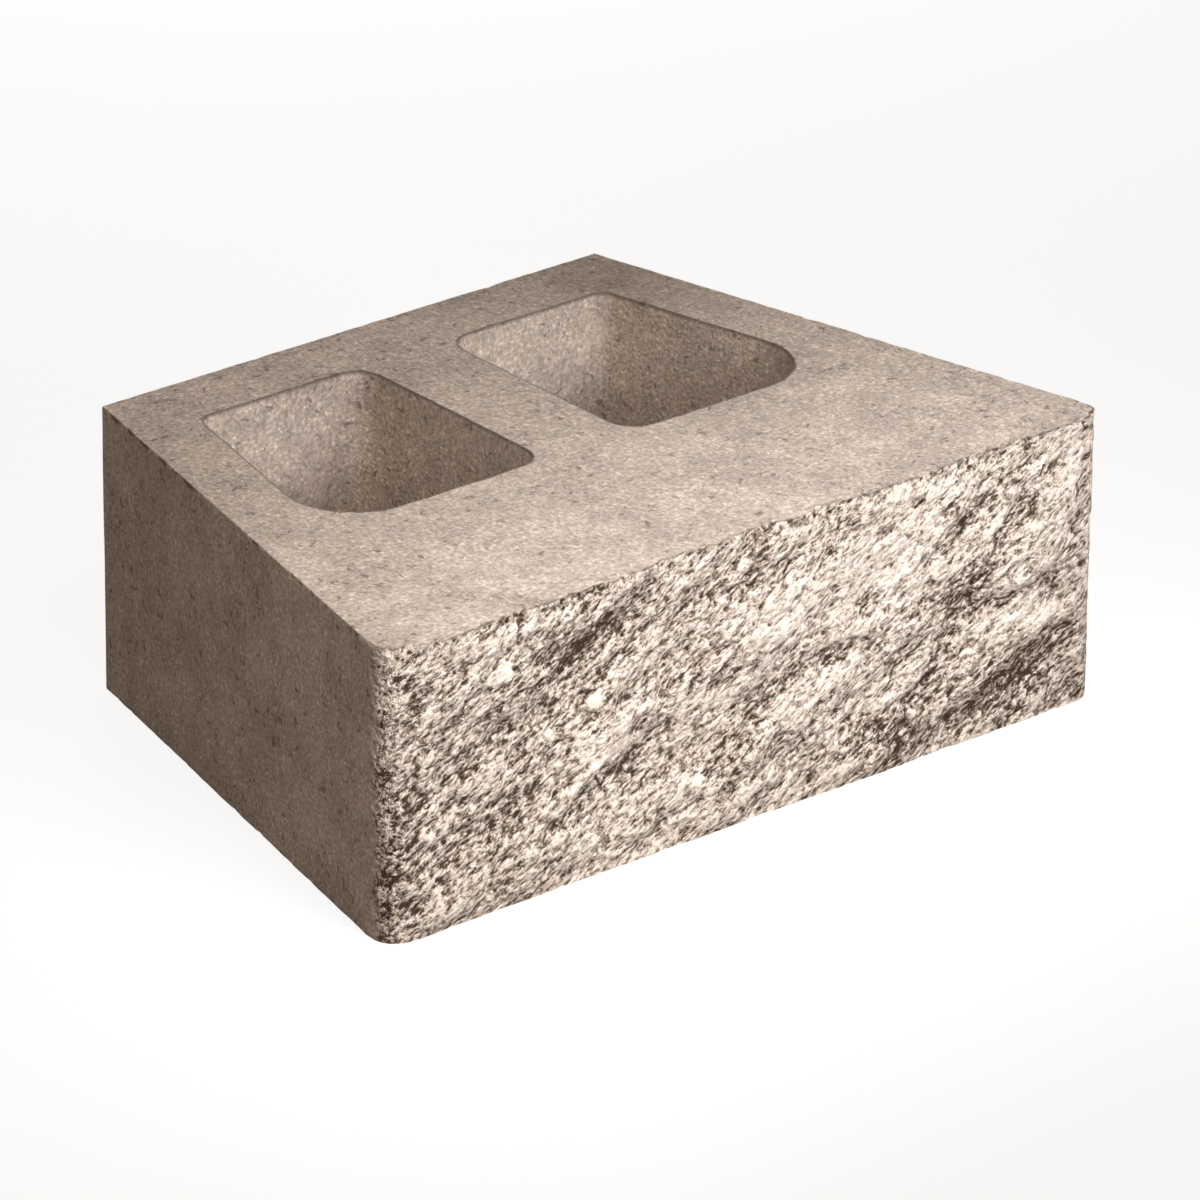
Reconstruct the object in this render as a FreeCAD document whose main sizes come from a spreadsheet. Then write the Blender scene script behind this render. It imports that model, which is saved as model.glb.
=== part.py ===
import FreeCAD, Part
import math
import os
import random
import Sketcher

# Retaining wall block of dry-cast concrete: one moulded piece with tapered sides, two cores
# and a split rock face. The frame is in millimetres, +Z up, with the split face towards -Y.
# The origin is under the middle of the block's box, on the bed that it stands on.

# Driving sizes in millimetres, with the draft of the cores in degrees
SIZES = {
    "block_height": 150,
    "face_width": 445,
    "back_width": 306,
    "bed_depth": 305,
    "corner_round": 13.5,
    "front_wall": 125,
    "back_wall": 40,
    "side_wall": 36,
    "web_wall": 52,
    "core_round_face": 35,
    "core_round_web": 14,
    "core_round_back": 7,
    "core_draft": 1,
    "arris": 1,
    "split_bulge": 5,
    "split_recess": 5,
    "split_start": 0.6,
    "facet_pitch": 9,
    "rock_pitch": 26,
    "ridge_pitch": 75,
    "overcut": 10,
}

# The ridges of the split climb to the right, with rock forms drawn out along them, each layer half
# the size of the last. Forms and chips come from one fixed draw. The break runs out flatter along
# the top edge.
RIDGE_ANGLE = math.radians(29)
RIDGE_WANDER = 1.3
RIDGE_SHARE = 0.25
ROCK_STRETCH = 2.0
ROCK_LAYERS = (0.75, 0.6)
CHIP_SHARE = 0.15
CHIP_JITTER = 0.3
TOP_SHARE = 0.35
FRACTURE_SEED = 11

# Ledges of the split, each from its left end to its right end, with its strength. Places are shares
# of half the split's width to the right of its middle, and of the height above the bed.
LEDGES = (
    (0.50, 0.28, 0.75, 0.74, 1.0),
    (-0.15, 0.15, 0.12, 0.28, 0.8),
    (-0.56, 0.28, -0.38, 0.39, 0.7),
    (-0.62, 0.74, -0.38, 0.93, 0.7),
    (0.60, 0.12, 0.96, 0.33, 0.9),
    (0.10, 0.54, 0.47, 0.46, 0.5),
    (0.70, 0.52, 1.00, 0.46, 0.8),
)

# Swell that carries the face forward near the top of its left end: its place, reach and strength
SWELL_ALONG, SWELL_UP, SWELL_REACH, SWELL_STRENGTH = -0.88, 0.97, 0.16, 1.0

NODE = "retaining_wall_block"

doc = FreeCAD.newDocument(NODE)
sheet = doc.addObject("Spreadsheet::Sheet", "sizes")
for row, (alias, value) in enumerate(SIZES.items(), start=1):
    sheet.set(f"A{row}", alias)
    sheet.set(f"B{row}", str(value))
    sheet.setAlias(f"B{row}", alias)
doc.recompute()


def size(alias):
    return float(sheet.get(alias))


# Plan lines in the sheet's words: the face line at the bed, the back and the taper of a side
FRONT = "((sizes.split_bulge - sizes.bed_depth) / 2)"
BACK = "((sizes.bed_depth + sizes.split_bulge) / 2)"
TAPER = "((sizes.face_width - sizes.back_width) / 2 / sizes.bed_depth)"
CORE_FRONT = f"({FRONT} + sizes.front_wall)"
CORE_BACK = f"({BACK} - sizes.back_wall)"
STOCK_FRONT = f"({FRONT} - sizes.split_bulge - sizes.overcut / 2)"
ROUND_END = f"(sizes.face_width / 2 - sizes.corner_round / tan((90 deg - atan({TAPER})) / 2))"

# The same lines as numbers, for finding edges and for the split
front = (size("split_bulge") - size("bed_depth")) / 2
back = (size("bed_depth") + size("split_bulge")) / 2
taper = (size("face_width") - size("back_width")) / 2 / size("bed_depth")
core_front = front + size("front_wall")
core_back = back - size("back_wall")
stock_front = front - size("split_bulge") - size("overcut") / 2
corner_angle = math.pi / 2 - math.atan(taper)
round_end = size("face_width") / 2 - size("corner_round") / math.tan(corner_angle / 2)


def core_side(y):
    side = size("face_width") / 2 - (y - front) * taper
    return side - size("side_wall") * math.hypot(1, taper)


def core_side_words(y):
    side = f"sizes.face_width / 2 - ({y} - {FRONT}) * {TAPER}"
    return f"{side} - sizes.side_wall * sqrt(1 + {TAPER} ^ 2)"


def origin_plane(body, role):
    for feature in body.Origin.OriginFeatures:
        if feature.Role == role:
            return feature
    raise ValueError(role)


def plan_sketch(body, name, corners):
    # Closed outline through corners: each is where it starts and the words that drive it
    sketch = body.newObject("Sketcher::SketchObject", name)
    sketch.AttachmentSupport = (origin_plane(body, "XY_Plane"), "")
    sketch.MapMode = "FlatFace"
    points = [FreeCAD.Vector(x, y, 0) for x, y, _, _ in corners]
    count = len(points)
    for index, point in enumerate(points):
        sketch.addGeometry(Part.LineSegment(point, points[(index + 1) % count]))
    for index in range(count):
        sketch.addConstraint(Sketcher.Constraint("Coincident", index, 2, (index + 1) % count, 1))
    for index, (x, y, across, along) in enumerate(corners):
        for kind, start, words in (("DistanceX", x, across), ("DistanceY", y, along)):
            number = sketch.addConstraint(Sketcher.Constraint(kind, -1, 1, index, 1, start))
            sketch.setExpression(f"Constraints[{number}]", words)
    return sketch


def pad_up(body, name, sketch):
    pad = body.newObject("PartDesign::Pad", name)
    pad.Profile = sketch
    pad.setExpression("Length", "sizes.block_height")
    doc.recompute()
    return pad


def upright_edges(shape, places):
    # Names of the edges that climb from the bed to the top at the given plan corners
    names = []
    for index, edge in enumerate(shape.Edges, start=1):
        box = edge.BoundBox
        if box.ZLength < size("block_height") / 2:
            continue
        top = max((vertex.Point for vertex in edge.Vertexes), key=lambda point: point.z)
        if any(math.hypot(top.x - x, top.y - y) < size("arris") for x, y in places):
            names.append(f"Edge{index}")
    return names


def round_edges(body, name, base, places, radius):
    fillet = body.newObject("PartDesign::Fillet", name)
    edges = upright_edges(base.Shape, places)
    if len(edges) != len(places):
        raise ValueError(f"{name} found {len(edges)} edges, not {len(places)}")
    fillet.Base = (base, edges)
    fillet.setExpression("Radius", radius)
    doc.recompute()
    return fillet


def mirrored_places(places):
    return places + [(-x, y) for x, y in places]


def moulded_block(body):
    half_face = size("face_width") / 2
    half_back = size("back_width") / 2
    outline = plan_sketch(body, "plan_outline", [
        (-half_face, front, "-sizes.face_width / 2", FRONT),
        (half_face, front, "sizes.face_width / 2", FRONT),
        (half_back, back, "sizes.back_width / 2", BACK),
        (-half_back, back, "-sizes.back_width / 2", BACK),
    ])
    mass = pad_up(body, "tapered_mass", outline)
    corners = mirrored_places([(half_face, front)])
    round_edges(body, "rounded_front_corners", mass, corners, "sizes.corner_round")
    stock = plan_sketch(body, "split_stock_outline", [
        (-round_end, stock_front, f"-{ROUND_END}", STOCK_FRONT),
        (round_end, stock_front, ROUND_END, STOCK_FRONT),
        (round_end, front, ROUND_END, FRONT),
        (-round_end, front, f"-{ROUND_END}", FRONT),
    ])
    pad_up(body, "split_stock", stock)


def cored_block(body):
    half_web = size("web_wall") / 2
    profile = plan_sketch(body, "core_profile", [
        (half_web, core_front, "sizes.web_wall / 2", CORE_FRONT),
        (core_side(core_front), core_front, core_side_words(CORE_FRONT), CORE_FRONT),
        (core_side(core_back), core_back, core_side_words(CORE_BACK), CORE_BACK),
        (half_web, core_back, "sizes.web_wall / 2", CORE_BACK),
    ])
    profile.setExpression("AttachmentOffset.Base.z", "sizes.block_height")
    core = body.newObject("PartDesign::Pocket", "core")
    core.Profile = profile
    core.setExpression("Length", "sizes.block_height")
    doc.recompute()
    pair = body.newObject("PartDesign::Mirrored", "core_pair")
    pair.Originals = [core]
    pair.MirrorPlane = (origin_plane(body, "YZ_Plane"), "")
    body.Tip = pair
    doc.recompute()
    web_corners = mirrored_places([(half_web, core_front), (half_web, core_back)])
    face_corners = mirrored_places([(core_side(core_front), core_front)])
    back_corners = mirrored_places([(core_side(core_back), core_back)])
    rounded = round_edges(body, "core_web_rounds", pair, web_corners, "sizes.core_round_web")
    rounded = round_edges(body, "core_face_rounds", rounded, face_corners, "sizes.core_round_face")
    return round_edges(body, "core_back_rounds", rounded, back_corners, "sizes.core_round_back")


def drafted_block(body, base):
    # The core walls lean in towards the bed, so that the cores come off their bars
    walls = []
    top = None
    for index, face in enumerate(base.Shape.Faces, start=1):
        box = face.BoundBox
        if box.ZMin > size("block_height") / 2:
            top = f"Face{index}"
        elif box.YMin > front and box.YMax < back and box.ZMax > size("block_height") / 2:
            if abs(box.Center.x) < core_side(core_front):
                walls.append(f"Face{index}")
    draft = body.newObject("PartDesign::Draft", "core_draft")
    draft.Base = (base, walls)
    draft.NeutralPlane = (base, [top])
    draft.setExpression("Angle", "sizes.core_draft * 1 deg")
    doc.recompute()
    if draft.Shape.Volume <= base.Shape.Volume:
        raise ValueError("the cores widen towards the bed")
    return draft


def eased_block(body, base):
    # Arris round the bed and the top, from the back to where the front corners end
    edges = []
    for index, edge in enumerate(base.Shape.Edges, start=1):
        box = edge.BoundBox
        level = box.ZLength < size("arris") / 2
        if level and box.YMax > front + size("arris"):
            edges.append(f"Edge{index}")
    eased = body.newObject("PartDesign::Chamfer", "eased_arrises")
    eased.Base = (base, edges)
    eased.setExpression("Size", "sizes.arris")
    doc.recompute()
    return eased


def grid_lines(low, high, pitch):
    count = max(2, round((high - low) / pitch))
    return [low + (high - low) * step / count for step in range(count + 1)]


def ridge_place(x, z):
    # The same place measured along the ridges and across them
    along = x * math.cos(RIDGE_ANGLE) + z * math.sin(RIDGE_ANGLE)
    return along, z * math.cos(RIDGE_ANGLE) - x * math.sin(RIDGE_ANGLE)


def ridge_height(x, z):
    along, across = ridge_place(x, z)
    turn = 2 * math.pi / size("ridge_pitch")
    return math.sin(across * turn + RIDGE_WANDER * math.sin(along * turn / 2))


def lattice_draw(layer, column, row):
    return random.Random(f"{FRACTURE_SEED} {layer} {column} {row}").uniform(-1, 1)


def rock_height(x, z):
    # Rounded lumps and hollows: draws at the corners of a lattice, eased from each corner to the next
    along, across = ridge_place(x, z)
    total = 0
    for layer, share in enumerate(ROCK_LAYERS):
        pitch = size("rock_pitch") / 2 ** layer
        column, from_column = divmod(along / pitch / ROCK_STRETCH, 1)
        row, from_row = divmod(across / pitch, 1)
        eased_column = from_column ** 2 * (3 - 2 * from_column)
        eased_row = from_row ** 2 * (3 - 2 * from_row)
        for step, column_share in ((0, 1 - eased_column), (1, eased_column)):
            for climb, row_share in ((0, 1 - eased_row), (1, eased_row)):
                corner = lattice_draw(layer, int(column) + step, int(row) + climb)
                total += share * column_share * row_share * corner
    return total


def ledge_height(x, z):
    # The face stands out above each ledge, draws back below it, and evens out away from it
    reach = size("ridge_pitch") / 3
    total = 0
    for from_along, from_up, to_along, to_up, strength in LEDGES:
        run_x = (to_along - from_along) * round_end
        run_z = (to_up - from_up) * size("block_height")
        from_x = x - from_along * round_end
        from_z = z - from_up * size("block_height")
        length = math.hypot(run_x, run_z)
        along = (from_x * run_x + from_z * run_z) / length
        above = (from_z * run_x - from_x * run_z) / length
        past = max(0, -along, along - length)
        total += math.copysign(strength * math.exp(-(past / reach) ** 2 - abs(above) / reach), above)
    return total


def swell_height(x, z):
    along = x / round_end - SWELL_ALONG
    up = (z / size("block_height") - SWELL_UP) / 2
    return SWELL_STRENGTH * math.exp(-(along ** 2 + up ** 2) / SWELL_REACH ** 2)


def fracture_heights(columns, rows, draw):
    # How far each corner of the split stands forward, before it is brought to the split's real depth
    heights = []
    for x in columns:
        column = []
        for z in rows:
            rough = RIDGE_SHARE * ridge_height(x, z) + CHIP_SHARE * draw.uniform(-1, 1)
            rough += rock_height(x, z) + ledge_height(x, z)
            height = rough * (TOP_SHARE if z == rows[-1] else 1)
            column.append(height + swell_height(x, z))
        heights.append(column)
    return heights


def scaled_to_relief(heights):
    highest = max(max(column) for column in heights)
    lowest = min(min(column) for column in heights)
    bulge = size("split_bulge") / highest
    recess = size("split_recess") / -lowest
    return [[value * (bulge if value > 0 else recess) for value in column] for column in heights]


def fracture_points():
    # Corners of the split's facets: straight along the bed and the two rounded corners, free at the top
    draw = random.Random(FRACTURE_SEED)
    pitch = size("facet_pitch")
    columns = grid_lines(-round_end, round_end, pitch)
    rows = grid_lines(0, size("block_height"), pitch)
    heights = scaled_to_relief(fracture_heights(columns[1:-1], rows[1:], draw))
    start = -size("split_start")
    points = []
    for i, x in enumerate(columns):
        column = []
        for k, z in enumerate(rows):
            inside = 0 < i < len(columns) - 1
            height = heights[i - 1][k - 1] if inside and k > 0 else start
            shift = CHIP_JITTER * pitch if inside and 0 < k < len(rows) - 1 else 0
            column.append(FreeCAD.Vector(
                x + shift * draw.uniform(-1, 1), front - height, z + shift * draw.uniform(-1, 1)))
        points.append(column)
    return points


def waste_points(points):
    # The same corners carried past the block's outline on every side
    past = size("overcut")
    outer = past + size("corner_round")
    tall = []
    for column in points:
        low = column[0] - FreeCAD.Vector(0, 0, past)
        high = column[-1] + FreeCAD.Vector(0, 0, past)
        tall.append([low] + column + [high])
    left = [point - FreeCAD.Vector(outer, 0, 0) for point in tall[0]]
    right = [point + FreeCAD.Vector(outer, 0, 0) for point in tall[-1]]
    return [left] + tall + [right]


def flat_face(points):
    return Part.Face(Part.makePolygon(points + points[:1]))


def split_waste():
    # The half that the splitter breaks off: the fracture behind, flat on its other five sides
    points = waste_points(fracture_points())
    faces = []
    for left, right in zip(points, points[1:]):
        for k in range(len(left) - 1):
            faces.append(flat_face([left[k], right[k], right[k + 1]]))
            faces.append(flat_face([left[k], right[k + 1], left[k + 1]]))
    ahead = stock_front - size("overcut")
    low_left, high_left, low_right, high_right = (
        FreeCAD.Vector(corner.x, ahead, corner.z)
        for corner in (points[0][0], points[0][-1], points[-1][0], points[-1][-1]))
    faces.append(flat_face(points[0] + [high_left, low_left]))
    faces.append(flat_face(points[-1] + [high_right, low_right]))
    faces.append(flat_face([column[0] for column in points] + [low_right, low_left]))
    faces.append(flat_face([column[-1] for column in points] + [high_right, high_left]))
    faces.append(flat_face([low_left, low_right, high_right, high_left]))
    solid = Part.makeSolid(Part.makeShell(faces))
    if solid.Volume < 0:
        solid.reverse()
    return solid


body = doc.addObject("PartDesign::Body", "moulded_block")
moulded_block(body)
cored = cored_block(body)
drafted = drafted_block(body, cored)
eased_block(body, drafted)

waste = doc.addObject("Part::Feature", "split_waste")
waste.Shape = split_waste()

block = doc.addObject("Part::Cut", "split_block")
block.Label = NODE
block.Base = body
block.Tool = waste
block.Placement = FreeCAD.Placement()
doc.recompute()

for item in doc.Objects:
    if "Invalid" in item.State or "Error" in item.State:
        raise RuntimeError(f"{item.Label} did not build: {item.State}")
if block.Shape.isNull() or not block.Shape.isValid() or len(block.Shape.Solids) != 1:
    raise RuntimeError(f"{block.Label} is not one valid solid")
if block.Shape.Volume >= body.Shape.Volume:
    raise RuntimeError("the split took nothing off the block")

os.makedirs("parts", exist_ok=True)
block.Shape.exportStep(f"parts/{block.Label}.step")
box = block.Shape.BoundBox
print(f"{block.Label}: {box.XLength:.2f} x {box.YLength:.2f} x {box.ZLength:.2f} mm")
print(f"y {box.YMin:.3f} to {box.YMax:.3f}, volume {block.Shape.Volume / 1e6:.3f} litres")
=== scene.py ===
import math

import bpy
import numpy as np
from mathutils import Matrix, Vector
from mathutils.bvhtree import BVHTree
from mathutils.geometry import delaunay_2d_cdt


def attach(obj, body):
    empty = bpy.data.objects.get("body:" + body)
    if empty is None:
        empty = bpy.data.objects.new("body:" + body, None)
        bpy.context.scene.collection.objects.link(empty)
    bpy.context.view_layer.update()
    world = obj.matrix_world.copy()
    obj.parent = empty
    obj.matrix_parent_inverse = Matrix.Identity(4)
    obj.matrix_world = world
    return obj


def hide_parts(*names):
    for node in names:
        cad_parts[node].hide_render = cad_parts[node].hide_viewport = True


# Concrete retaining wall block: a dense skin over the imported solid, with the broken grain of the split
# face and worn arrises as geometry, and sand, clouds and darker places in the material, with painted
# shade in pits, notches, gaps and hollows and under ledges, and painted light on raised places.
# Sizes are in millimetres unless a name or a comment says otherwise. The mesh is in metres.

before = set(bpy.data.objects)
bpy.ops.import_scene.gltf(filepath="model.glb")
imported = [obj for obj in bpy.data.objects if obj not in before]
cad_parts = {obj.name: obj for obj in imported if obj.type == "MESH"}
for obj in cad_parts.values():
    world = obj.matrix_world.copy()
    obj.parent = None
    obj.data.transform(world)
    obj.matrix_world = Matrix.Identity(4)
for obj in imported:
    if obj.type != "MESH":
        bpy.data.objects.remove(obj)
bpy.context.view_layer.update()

NODE = "retaining_wall_block"
SLOT = "concrete"
MM = 0.001

# Plan and section of the block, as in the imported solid
HEIGHT = 150.0
FACE_WIDTH = 445.0
BACK_WIDTH = 306.0
BED_DEPTH = 305.0
SPLIT_BULGE = 5.0
CORNER_ROUND = 13.5
FRONT_WALL = 125.0
BACK_WALL = 40.0
SIDE_WALL = 36.0
WEB_WALL = 52.0
CORE_ROUND_FACE = 35.0
CORE_ROUND_WEB = 14.0
CORE_ROUND_BACK = 7.0
CORE_DRAFT = math.tan(math.radians(1.0))

FRONT = (SPLIT_BULGE - BED_DEPTH) / 2
BACK = (BED_DEPTH + SPLIT_BULGE) / 2
TAPER = (FACE_WIDTH - BACK_WIDTH) / 2 / BED_DEPTH
SIDE_LEAN = math.atan(TAPER)
ROUND_END = FACE_WIDTH / 2 - CORNER_ROUND / math.tan((math.pi / 2 - SIDE_LEAN) / 2)

# Spacing of the mesh on the split face, near it, on the moulded walls and on the beds. The rows of a
# moulded wall are close together at its edges and further apart than its columns between them.
SPLIT_PITCH = 1.0
NEAR_PITCH = 2.0
MOULDED_PITCH = 4.0
BED_PITCH = MOULDED_PITCH * 1.4
NEAR_REACH = 12.0
ARRIS = 1.2
EDGE_ROWS = (0, ARRIS / 3, ARRIS, ARRIS * 2.2)
ROW_SPREAD = 2

# Least distance of a bed's points from its edges: in the ring beside each edge, and in the grid
RING_MARGIN = ARRIS * 0.6
GRID_MARGIN = ARRIS * 1.5

# Edges sharper than this stay sharp in the shading
SMOOTH_ANGLE = math.radians(55)

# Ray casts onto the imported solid: how far out they start, and how far they keep from the beds
PROBE = 60.0
PROBE_EDGE = 0.5

# Ledges of the split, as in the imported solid: each from its left end to its right end, in shares of
# half the split's width and of the height, with its strength. The depths and reaches sharpen them.
LEDGES = (
    (0.50, 0.28, 0.75, 0.74, 1.0),
    (-0.15, 0.15, 0.12, 0.28, 0.8),
    (-0.56, 0.28, -0.38, 0.39, 0.7),
    (-0.62, 0.74, -0.38, 0.93, 0.7),
    (0.60, 0.12, 0.96, 0.33, 0.9),
    (0.10, 0.54, 0.47, 0.46, 0.5),
    (0.70, 0.52, 1.00, 0.46, 0.8),
)
LEDGE_DEPTH = 0.4
LEDGE_REACH = 9.0
LEDGE_LIP = 4.0
LEDGE_WOBBLE = 6.0
LEDGE_WOBBLE_SIZE = 12.0
LEDGE_WOBBLE_FADE = 0.8
# Strength of the painted shade under each ledge
LEDGE_PAINTED_SHADE = 0.5

# Small lumps of the split, drawn out along its ridges and warped, then broken chips: size, height and
# roundness. A chip has its own lift, and a crown that its roundness raises.
RIDGE_ANGLE = math.radians(29)
CHIP_STRETCH = 2.3
GRAIN_STRETCH = 2.4
LUMP_SIZE = 8.0
LUMP_HEIGHT = 1.0
LUMP_LAYERS = 2
LUMP_FADE = 0.72
CHIP_LAYERS = ((4.6, 0.7, 0.3), (2.6, 0.5, 0.6))
CHIP_LIFT = 0.6
CHIP_CROWN = 0.3
WARP = 2.5
WARP_SIZE = 12.0

# Straight facet edges of the solid stray a little, and are blurred over this many steps of the mesh
FACET_BLUR = 2
STRAY = 2.2
STRAY_REACH = 9.0
STRAY_FADE = 0.7

# Relief is held back beside the bottom edge and beside the rounded ends
HELD_RISE = 8.0
HELD_PAST = 10
HELD_FADE = 16
HELD_LEAST = 0.25

# Ragged ends of the split: how far past the start of the corner rounds they lie, over what length they
# fade, and how ragged they are. The shift sets the noises of the two ends apart.
END_PAST = 21.0
END_FADE = 4.0
END_RAGGED = 2.5
END_SIZE = 5
END_SHIFT = 9

# Pebbles that stand out of the split: place along and up it, and radius
PEBBLES = (
    (-155.0, 124.0, 6.0), (-99.0, 91.0, 5.0), (-125.0, 82.0, 3.0), (-88.0, 101.0, 2.5),
    (98.0, 26.0, 3.5), (172.0, 14.0, 3.0), (184.0, 25.0, 3.0), (-36.0, 31.0, 4.0),
)
PEBBLE_RISE = 0.45
PEBBLE_TONE = 1.8
PEBBLE_UNEVEN = 0.3
PEBBLE_UNEVEN_SIZE = 4
PEBBLE_CALM = 0.6

# Tone of the split. It shifts the shade of the grain by a share, and sets the grain's contrast between
# a dark and a bright tone. A place that stands out of its surroundings, over several reaches of the
# mesh with their weights, is paler with painted light, and a sunken one is darker with painted shade,
# within limits.
TONE_SHARE = 0.062
DARK_TONE = -2.0
BRIGHT_TONE = 1.6
DARK_CONTRAST = 1.35
BRIGHT_CONTRAST = 0.88
TONE_REACHES = ((2, 0.5), (5, 0.5), (12, 0.45))
TONE_LOW = -1.6
TONE_HIGH = 0.8

# Patches of painted shade, darker and with more contrast in the grain, and of painted light, paler:
# middle, reach and amount
PAINTED_SHADE_AND_LIGHT_PATCHES = (
    (-97.0, 128.0, 30.0, 18.0, -1.7),
    (165.0, 22.0, 36.0, 22.0, -1.6),
    (91.0, 17.0, 24.0, 14.0, -1.8),
    (-205.0, 50.0, 16.0, 45.0, -0.7),
    (-145.0, 60.0, 60.0, 50.0, -0.65),
    (130.0, 84.0, 18.0, 26.0, -1.6),
    (5.0, 134.0, 26.0, 12.0, -0.9),
    (-140.0, 116.0, 32.0, 20.0, -0.9),
    (142.0, 126.0, 24.0, 14.0, -0.8),
    (-12.0, 38.0, 32.0, 12.0, -0.8),
    (62.0, 104.0, 70.0, 18.0, 1.1),
    (170.0, 59.0, 32.0, 10.0, 1.2),
    (-155.0, 126.0, 13.0, 10.0, 0.9),
    (-100.0, 66.0, 20.0, 10.0, 0.9),
    (200.0, 138.0, 18.0, 10.0, 0.8),
)

# Blotches of tone between the patches
BLOTCH = 0.4
BLOTCH_SIZE = 16.0
BLOTCH_STRETCH = 1.6
BLOTCH_FADE = 0.8

# Bites out of the split's top edge
BITE_DEPTH = 2.2
BITE_REACH = 3.0
BITE_SIZE = 5
BITE_FADE = 0.8
BITE_LEAST = -0.3

# Wear of the moulded edges: a rounding that varies, and chips where their noise passes a limit. The
# shift sets the noises of the top edges and the bottom edges apart.
WEAR_DEPTH = 0.4
WEAR_CHANGE = 0.2
WEAR_SIZE = 5
WEAR_CHIP_SIZE = 7
WEAR_CHIP_LIMIT = 0.62
WEAR_CHIP_TOP = 1.6
WEAR_CHIP_BOTTOM = 0.8
TOP_SHIFT = 50.0

# Slow waves of the moulded faces: height and size. The shift sets the noises of the two cores apart.
WALL_WAVE = 0.15
WALL_WAVE_SIZE = 35
CORE_WAVE = 0.2
CORE_WAVE_SIZE = 25
CORE_SHIFT = 900
BED_WAVE = 0.12
BED_WAVE_SIZE = 30

# Edges of the beds: how far they drop, and the ragged strip that is broken beside the split
BED_DROP = 0.35
BED_BROKEN = 1.6
BED_BROKEN_CHANGE = 1.4
BED_BROKEN_SIZE = 5
BED_BROKEN_LEAST = 0.3

# Reach of the dark line round the top of each core
RIM_REACH = 2.4

# Painted shade of small notches under the top arris: strength, reach downwards, size, and the limit
# their noise passes
NOTCH_PAINTED_SHADE = 2.0
NOTCH_REACH = 3.2
NOTCH_SIZE = 5
NOTCH_LIMIT = 0.05

# Painted shade of small notches on the rounded front corners: strength, place along the round, reach,
# size and limit
CORNER_PAINTED_SHADE = 4.0
CORNER_PLACE = 9.0
CORNER_REACH = 14.0
CORNER_SIZE = (13.0, 5.0)
CORNER_LIMIT = 0.2

# Darker places on the top: middle, reach and amount
TOP_DARKER_PLACES = ((150.0, 120.0, 70.0, -0.5), (60.0, 150.0, 40.0, -0.2))

# Seeds of the noises. Each layer of a noise adds one to its seed.
SEED_WARP_ALONG = 3
SEED_BITES = 5
SEED_WARP_UP = 9
SEED_BLOTCH = 17
SEED_CHIPS = 20
SEED_CHIPS_STEP = 7
SEED_ENDS = 29
SEED_LEDGES = 33
SEED_CORNERS = 37
SEED_WEAR_CHIPS = 41
SEED_NOTCHES = 43
SEED_WEAR = 47
SEED_LUMPS = 51
SEED_WALL_WAVES = 60
SEED_CORE_WAVES = 64
SEED_PEBBLES = 71
SEED_TOP_WAVES = 79
SEED_BOTTOM_WAVES = 80
SEED_BED_BROKEN = 87
SEED_STRAY_ALONG = 91
SEED_STRAY_UP = 95

# Factors that scramble a cell's place into a number
HASH_COLUMN = 374761393
HASH_ROW = 668265263
HASH_SEED = 982451653
HASH_MIX = 1274126177
WORD = 0xFFFFFFFF
HALF_WORD = 0xFFFF


# Repeatable noise

def hashed(column, row, seed):
    # Number from 0 to 1 that belongs to a cell and a seed
    word = (column * HASH_COLUMN + row * HASH_ROW + seed * HASH_SEED) & WORD
    word = ((word ^ (word >> 13)) * HASH_MIX) & WORD
    return ((word ^ (word >> 16)) & HALF_WORD) / HALF_WORD


def smooth_noise(u, v, seed):
    column = np.floor(u).astype(np.int64)
    row = np.floor(v).astype(np.int64)
    across = u - column
    along = v - row
    across = across * across * (3 - 2 * across)
    along = along * along * (3 - 2 * along)
    low = hashed(column, row, seed) * (1 - across) + hashed(column + 1, row, seed) * across
    high = hashed(column, row + 1, seed) * (1 - across) + hashed(column + 1, row + 1, seed) * across
    return (low * (1 - along) + high * along) * 2 - 1


def layered_noise(u, v, seed, layers=3, fade=0.5):
    total = np.zeros_like(u)
    for layer in range(layers):
        total += smooth_noise(u * 2 ** layer, v * 2 ** layer, seed + layer) * fade ** layer
    return total


def broken_cells(u, v, seed, roundness):
    # Height of a surface broken into tilted chips or round grains, one to each uneven cell, about 1 wide
    column = np.floor(u).astype(np.int64)
    row = np.floor(v).astype(np.int64)
    nearest = np.full(u.shape, np.inf)
    height = np.zeros_like(u)
    for step_u in (-1, 0, 1):
        for step_v in (-1, 0, 1):
            cell_u = column + step_u
            cell_v = row + step_v
            from_u = u - cell_u - hashed(cell_u, cell_v, seed)
            from_v = v - cell_v - hashed(cell_u, cell_v, seed + 1)
            distance = from_u ** 2 + from_v ** 2
            lift = hashed(cell_u, cell_v, seed + 2) * 2 - 1
            tilt_u = hashed(cell_u, cell_v, seed + 3) * 2 - 1
            tilt_v = hashed(cell_u, cell_v, seed + 4) * 2 - 1
            crown = roundness * (CHIP_CROWN - distance)
            cell = lift * CHIP_LIFT + tilt_u * from_u + tilt_v * from_v + crown
            height = np.where(distance < nearest, cell, height)
            nearest = np.minimum(distance, nearest)
    return height


# Plan of the block

def core_side(y):
    side = FACE_WIDTH / 2 - (y - FRONT) * TAPER
    return side - SIDE_WALL * math.hypot(1, TAPER)


def even_steps(length, pitch):
    return np.linspace(0, 1, max(1, round(length / pitch)) + 1)[:-1]


def line_run(start, end, pitch):
    # Points from start up to, but not including, end
    start = np.array(start)
    end = np.array(end)
    steps = even_steps(np.linalg.norm(end - start), pitch)
    return start + steps[:, None] * (end - start)


def arc_run(centre, radius, first, last, pitch):
    angles = first + even_steps(abs(last - first) * radius, pitch) * (last - first)
    return np.array(centre) + radius * np.stack([np.cos(angles), np.sin(angles)], 1)


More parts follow.
